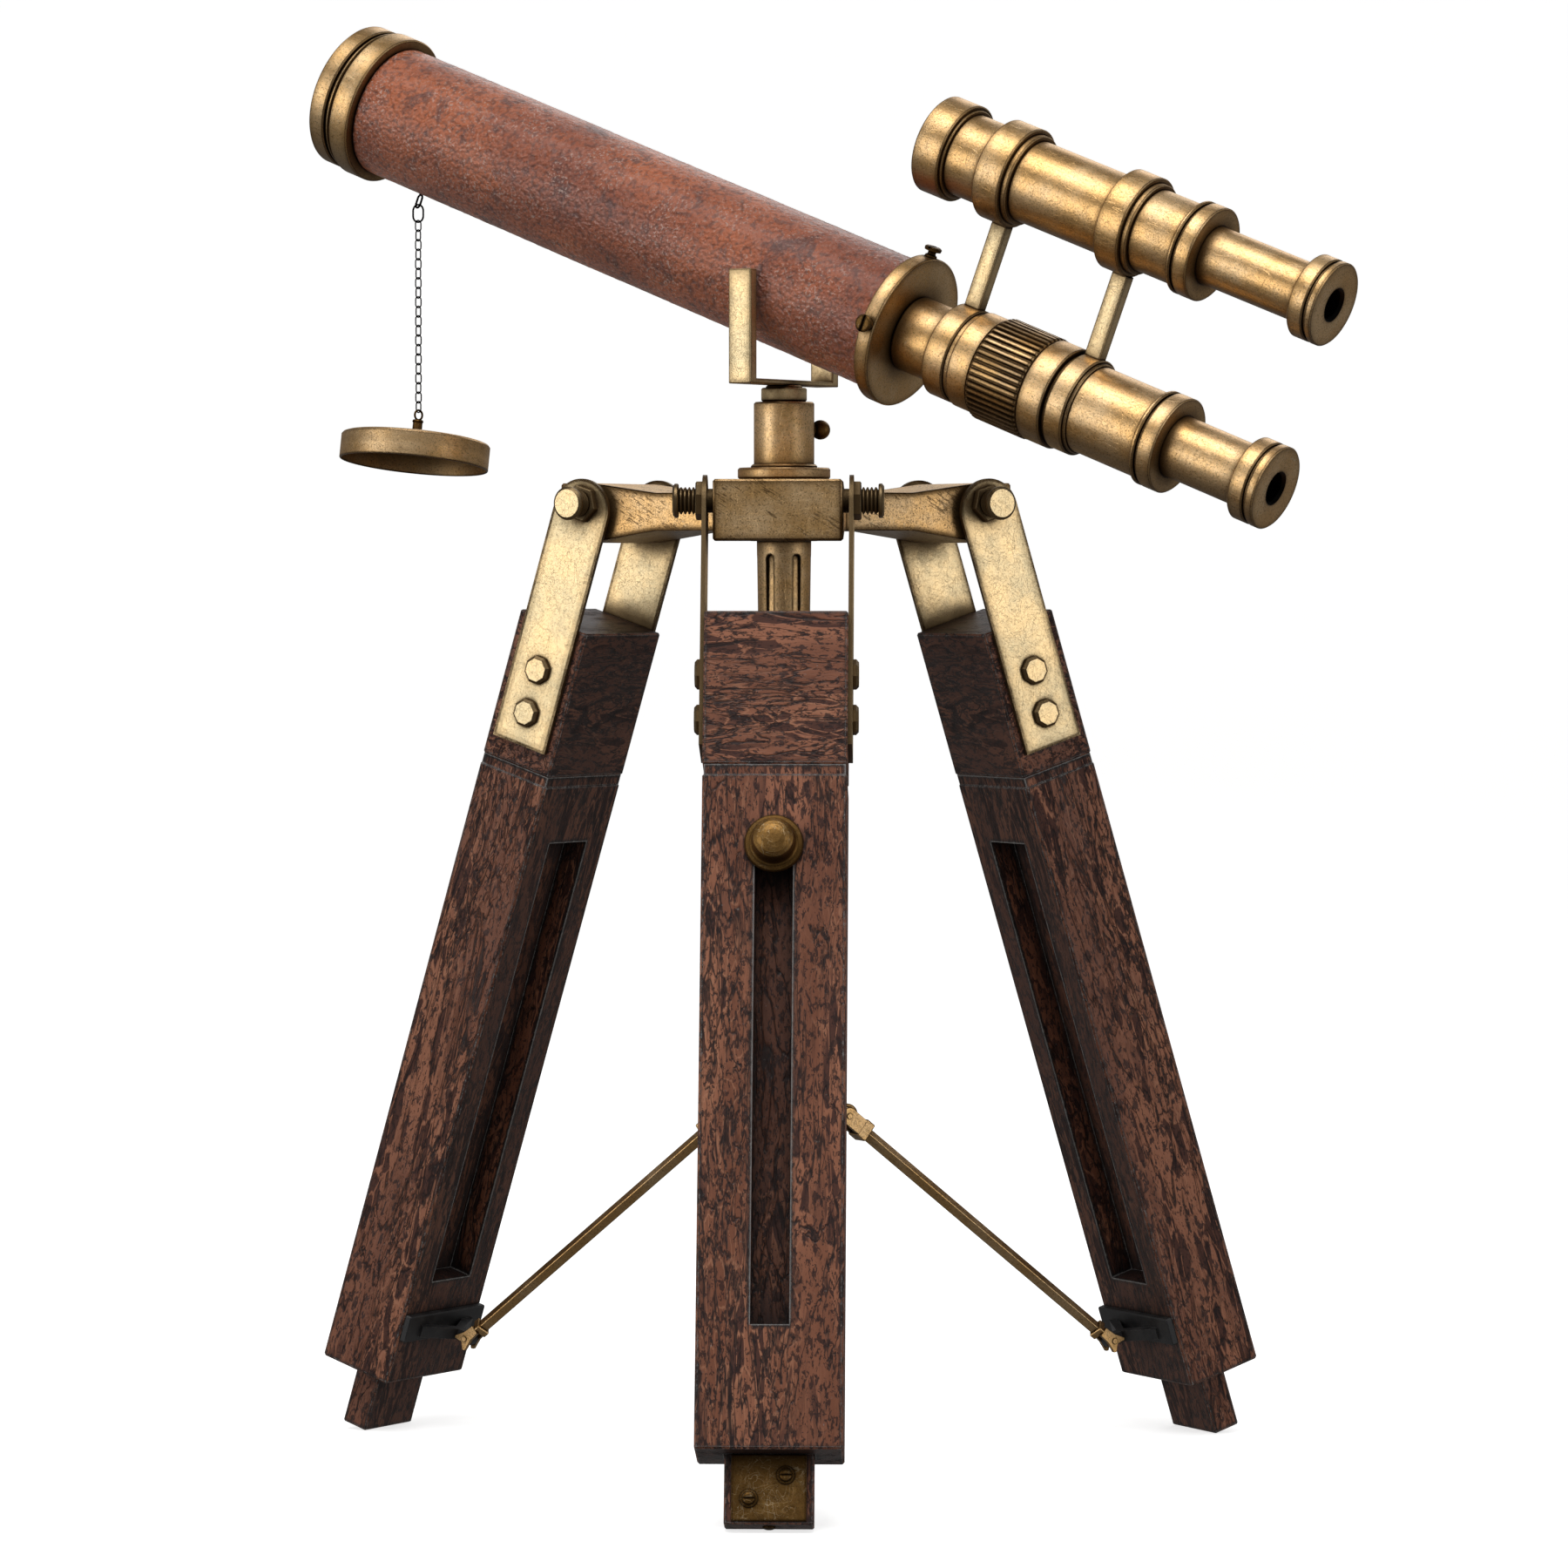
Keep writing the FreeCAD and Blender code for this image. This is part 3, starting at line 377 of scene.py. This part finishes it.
    dents = n.most(n.most(vein, fine_vein), n.times(tick, 0.6))
    height = n.minus(n.times(drift, 0.4), dents)
    height = n.minus(height, n.times(n.plus(pore, lens), 0.3))
    rough = n.plus(n.span(drift, 0.3, 0.7, 0.42, 0.55), n.times(lens, 0.12))
    return n.finish(Base_Color=tone, Roughness=rough, Specular_IOR_Level=0.3,
                    Normal=n.bump(height, 0.6, 0.0003))


def leather(name):
    """Pebbled reddish leather, mottled dark, with pale specks of painted highlight on the grain."""
    deep, bright, bruise = (0.420, 0.115, 0.055), (0.680, 0.190, 0.075), (0.130, 0.055, 0.048)
    warm, glint_pale = (0.68, 0.23, 0.10), (0.80, 0.56, 0.47)
    between_dark, joint_black = (0.110, 0.036, 0.026), (0.020, 0.010, 0.008)
    n = Nodes(name)
    where = n.coords()
    big = n.noise(where, 30, 5, 0.62, 0.5)
    mid = n.noise(where, 130, 5, 0.68, 0.4)
    pebble = n.cells(n.warp(where, 500, 0.0012), 850, "SMOOTH_F1")
    speck = n.noise(where, 1300, 4, 0.65)
    tone = n.mix(n.span(big, 0.38, 0.64), deep, bright)
    tone = n.mix(n.span(mid, 0.53, 0.66, 0.0, 0.75), tone, bruise)
    tone = n.mix(n.span(mid, 0.26, 0.42, 0.5, 0.0), tone, warm)
    # painted highlights: pale specks on the pebble tops, in patches
    rubbed = n.times(n.span(speck, 0.55, 0.61), n.span(n.noise(where, 75, 3), 0.42, 0.6, 0.25, 0.8))
    tone = n.mix(rubbed, tone, glint_pale)
    tone = n.mix(n.span(pebble, 0.38, 0.72, 0.0, 0.6), tone, between_dark)
    tone = n.mix(n.span(n.crevice(0.0025), 0.3, 0.8, 0.0, 0.9), tone, joint_black)
    height = n.minus(n.times(speck, 0.8), pebble)
    return n.finish(Base_Color=tone, Roughness=n.span(mid, 0.3, 0.7, 0.24, 0.40),
                    Specular_IOR_Level=0.9, Coat_Weight=0.25, Coat_Roughness=0.22,
                    Normal=n.bump(height, 1.0, 0.0012))


def enamel(name):
    """Black enamel with chips on its edges and a dusty, slightly uneven surface."""
    black, dusty, bare_iron = (0.008, 0.008, 0.009), (0.028, 0.027, 0.027), (0.16, 0.15, 0.14)
    n = Nodes(name)
    where = n.coords()
    cloud = n.noise(where, 160, 5, 0.6)
    chip = n.times(n.span(n.edge(0.0006), 0.05, 0.3), n.span(n.noise(where, 900, 3), 0.45, 0.6))
    tone = n.mix(n.span(cloud, 0.35, 0.7), black, dusty)
    tone = n.mix(n.times(chip, 0.6), tone, bare_iron)
    return n.finish(Base_Color=tone, Roughness=n.span(cloud, 0.3, 0.7, 0.42, 0.6),
                    Normal=n.bump(n.noise(where, 1400, 3), 0.3, 0.0001))


def glass(name, tint):
    """Coated optical glass with a faint haze of dust."""
    n = Nodes(name)
    haze = n.noise(n.coords(), 500, 4, 0.6)
    return n.finish(Base_Color=tint, Roughness=n.span(haze, 0.4, 0.75, 0.01, 0.10),
                    Transmission_Weight=1.0, IOR=1.5, Coat_Weight=0.4,
                    Normal=n.bump(haze, 0.02, 0.0001))


AGED = dict(light=(0.95, 0.67, 0.37), mid=(0.80, 0.48, 0.19), patina_and_shade=(0.038, 0.016, 0.006))
RUBBED = dict(light=(1.0, 0.82, 0.50), mid=(0.95, 0.69, 0.36), patina_and_shade=(0.085, 0.040, 0.014))
DARK = dict(light=(0.36, 0.200, 0.062), mid=(0.21, 0.110, 0.032), patina_and_shade=(0.016, 0.008, 0.004))
CHAIN = dict(light=(0.022, 0.014, 0.008), mid=(0.010, 0.006, 0.004), patina_and_shade=(0.003, 0.002, 0.002))
TUBE_AXES = tube_axes()
MATERIALS = {
    "aged": brass("aged_brass", **AGED, shade=0.6, gloss=0.32),
    "tube": brass("aged_brass_tube", **AGED, shade=0.6, gloss=0.30, axes=TUBE_AXES, streaks=0.08,
                  bore=Vector((0, 0, TRUNNION_Z))),
    "finder": brass("aged_brass_finder", **AGED, shade=0.6, gloss=0.30, axes=TUBE_AXES, streaks=0.08,
                    bore=sum(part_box("finder_lens"), Vector()) / 2),
    "rubbed": brass("rubbed_brass", **RUBBED, shade=0.35, gloss=0.34),
    "hub": brass("aged_brass_hub", **AGED, shade=0.75, gloss=0.36, halo=0.9, streaks=0.7),
    "bar": brass("aged_brass_bar", **AGED, shade=0.6, gloss=0.36, halo=0.0, border=0.0003),
    "dark": brass("dark_brass", **DARK, gloss=0.36),
    "chain": brass("blackened_brass", **CHAIN, gloss=0.4),
    "leather": leather("red_leather"),
    "enamel": enamel("black_enamel"),
    "glass": glass("optical_glass", (0.80, 0.88, 0.93)),
    "eye_glass": glass("eyepiece_glass", (0.02, 0.022, 0.03)),
}
for side, turn in LEG_TURNS.items():
    MATERIALS["wood_" + side] = wood("wood_along_" + side, turn, True)
    MATERIALS["head_" + side] = wood("wood_across_" + side, turn, False)
    rubbed = dict(**RUBBED, shade=0.3, gloss=0.34, face=leg_axes(turn)[0])
    MATERIALS["plates_" + side] = brass("rubbed_brass_" + side, **rubbed, halo=0.35, streaks=0.12,
                                        border=0.0024)
    MATERIALS["bolts_" + side] = brass("rubbed_brass_bolts_" + side, **rubbed, halo=0.0, streaks=0.0,
                                       border=0.0007)

TUBE_NODES = ("main_tube", "objective_ring", "backplate", "eyepiece_front", "eyepiece_rear", "focus_ring",
              "drawtube", "eyecup")
FINDER_NODES = ("finder_body", "finder_drawtube", "finder_eyecup")
PICK = {"leather_cover": "leather", "hub_casting": "hub", "yoke": "rubbed", "finder_posts": "rubbed",
        "objective_lens": "glass", "finder_lens": "glass",
        "eye_lens": "eye_glass", "finder_eye_lens": "eye_glass",
        "backplate_screws": "dark", "socket_clamp_screw": "dark", "cap_stud": "dark",
        "chain": "chain", "chain_top_link": "chain", "chain_eyelet": "chain"}
PICK.update({node: "tube" for node in TUBE_NODES})
PICK.update({node: "finder" for node in FINDER_NODES})
for side in LEG_TURNS:
    PICK.update({"leg_head_" + side: "head_" + side, "leg_sleeve_" + side: "wood_" + side,
                 "inner_leg_" + side: "wood_" + side, "spreader_bracket_" + side: "enamel",
                 "hinge_plates_" + side: "plates_" + side, "plate_bolts_" + side: "bolts_" + side,
                 "pivot_rod_" + side: "bolts_" + side, "clamp_knob_" + side: "dark",
                 "foot_plate_" + side: "dark", "spreader_rod_" + side: "bar"})
for node, piece in frame["nodes"].items():
    piece.data.materials.clear()
    piece.data.materials.append(MATERIALS[PICK.get(node, "aged")])


# ---------------------------------------------------------------- leather sleeve
def sleeve(node, body, columns=330, rows=230):
    """Hand-wrapped leather around the tube, in place of the plain CAD sleeve, with a butt seam below.

    It is a closed shell: pebbled outside, turned in at both ends, and plain where it lies on the tube.
    """
    thickness, face_depth = 0.7 * MM, 0.16 * MM      # the pebbled face lies a little under the CAD surface
    turn_length, turn_depth = 0.9 * MM, 0.45 * MM
    pebbles, pebble_height = 620, 0.10 * MM          # noise scale per metre, and height
    swells, swell_height = 55, 0.09 * MM
    seam_width, seam_depth = 0.45 * MM, 0.45 * MM
    seam_wander, wander_scale = 0.02, 40             # radians, and noise scale per metre
    along, across, up = (Vector(axis) for axis in TUBE_AXES)
    centre = Vector((0, 0, TRUNNION_Z))
    points = [v.co - centre for v in frame["nodes"][node].data.vertices]
    stations = [p.dot(along) for p in points]
    start, end = min(stations), max(stations)
    radius = max(math.hypot(p.dot(across), p.dot(up)) for p in points)
    inner = radius - thickness
    spokes = [math.cos(a) * across + math.sin(a) * up for a in (2 * math.pi * j / rows for j in range(rows))]
    verts = []
    for i in range(columns + 1):
        s = start + (end - start) * i / columns
        rim = min(s - start, end - s) / turn_length
        tuck = turn_depth * (1 - math.sqrt(max(0.0, 1 - (1 - min(rim, 1.0)) ** 2)))
        for j, out in enumerate(spokes):
            spot = centre + s * along + radius * out
            pebble = noise.fractal(spot * pebbles, 0.8, 2.0, 3) * pebble_height
            swell = noise.noise(spot * swells) * swell_height
            seam_line = SEAM_ANGLE + seam_wander * noise.noise(spot * wander_scale)
            seam = abs(math.remainder(2 * math.pi * j / rows - seam_line, 2 * math.pi)) * radius
            groove = seam_depth * math.exp(-(seam / seam_width) ** 2)
            height = radius - face_depth + pebble + swell - tuck - groove
            verts.append(centre + s * along + max(inner, min(radius, height)) * out)
    for s in (end, start):
        verts += [centre + s * along + inner * out for out in spokes]
    rings = columns + 3
    faces = []
    for i in range(rings):
        here, after = i * rows, (i + 1) % rings * rows
        faces += [(here + j, here + (j + 1) % rows, after + (j + 1) % rows, after + j) for j in range(rows)]
    mesh = bpy.data.meshes.new("leather_sleeve")
    mesh.from_pydata(verts, [], faces)
    mesh.polygons.foreach_set("use_smooth", [True] * len(mesh.polygons))
    mesh.materials.append(MATERIALS["leather"])
    piece = bpy.data.objects.new("leather_sleeve", mesh)
    bpy.context.scene.collection.objects.link(piece)
    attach(piece, body)
    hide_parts(node)


sleeve("leather_cover", "telescope")


# ---------------------------------------------------------------- floor, light and camera
def studio(flat=2.0, bend_start=2.4, bend_radius=1.2, wall_top=5.0, bend_steps=10, turns=72):
    """A round pale floor that curves up into a pale wall all around."""
    pale, paler, white = (0.90, 0.90, 0.895), (0.93, 0.93, 0.925), (1.0, 1.0, 1.0)
    n = Nodes("pale_floor")
    tone = n.mix(n.span(n.noise(n.coords(), 3, 3), 0.3, 0.7), pale, paler)
    material = n.finish(Base_Color=tone, Roughness=0.85, Specular_IOR_Level=0.1,
                        Emission_Color=white, Emission_Strength=FLOOR_GLOW)
    bend = [i * math.pi / (2 * bend_steps) for i in range(bend_steps + 1)]
    profile = [(flat, 0.0)]
    for a in bend:
        profile.append((bend_start + bend_radius * math.sin(a), bend_radius - bend_radius * math.cos(a)))
    profile.append((bend_start + bend_radius, wall_top))
    verts = [(r * math.cos(2 * math.pi * j / turns), r * math.sin(2 * math.pi * j / turns), z)
             for r, z in profile for j in range(turns)]
    faces = [tuple(range(turns))]
    for i in range(len(profile) - 1):
        for j in range(turns):
            k = (j + 1) % turns
            faces.append((i * turns + j, (i + 1) * turns + j, (i + 1) * turns + k, i * turns + k))
    mesh = bpy.data.meshes.new("floor")
    mesh.from_pydata(verts, [], faces)
    mesh.polygons.foreach_set("use_smooth", [True] * len(mesh.polygons))
    mesh.materials.append(material)
    floor = bpy.data.objects.new("floor", mesh)
    floor.visible_glossy = False      # the brass keeps its dark lower sides
    floor.visible_diffuse = False
    floor.visible_shadow = False
    bpy.context.scene.collection.objects.link(floor)


def softbox(name, at, size, radiance):
    """Rectangular light of a given brightness, facing the object."""
    light = bpy.data.lights.new(name, "AREA")
    light.shape = "RECTANGLE"
    light.size, light.size_y = size
    light.energy = radiance * math.pi * size[0] * size[1]
    lamp = bpy.data.objects.new(name, light)
    lamp.location = at
    aim = Vector(LIGHT_AIM) - Vector(at)
    lamp.rotation_euler = aim.to_track_quat("-Z", "Y").to_euler()
    bpy.context.scene.collection.objects.link(lamp)


def world(strength):
    """Even, faintly warm light from all around."""
    scene_world = bpy.data.worlds.new("studio")
    bpy.context.scene.world = scene_world
    scene_world.use_nodes = True
    background = scene_world.node_tree.nodes["Background"]
    background.inputs["Color"].default_value = (1.0, 0.99, 0.98, 1.0)
    background.inputs["Strength"].default_value = strength


def camera():
    """The photograph's view: nearly level, from in front and a little to the right."""
    data = bpy.data.cameras.new("camera")
    data.lens = CAMERA_LENS
    data.sensor_width = CAMERA_SENSOR
    data.clip_end = CAMERA_FAR
    view = bpy.data.objects.new("camera", data)
    station = math.radians(CAMERA_STATION)
    view.location = (CAMERA_DISTANCE * math.sin(station) - CAMERA_SHIFT,
                     -CAMERA_DISTANCE * math.cos(station), HINGE_Z - CAMERA_DROP)
    view.rotation_euler = (math.radians(90 - CAMERA_DIP), 0.0, math.radians(CAMERA_TURN))
    bpy.context.scene.collection.objects.link(view)
    bpy.context.scene.camera = view


studio()
world(WORLD_GLOW)
for name, (at, size, radiance) in SOFTBOXES.items():
    softbox(name, at, size, radiance)
camera()
bpy.context.scene.view_settings.view_transform = "Standard"
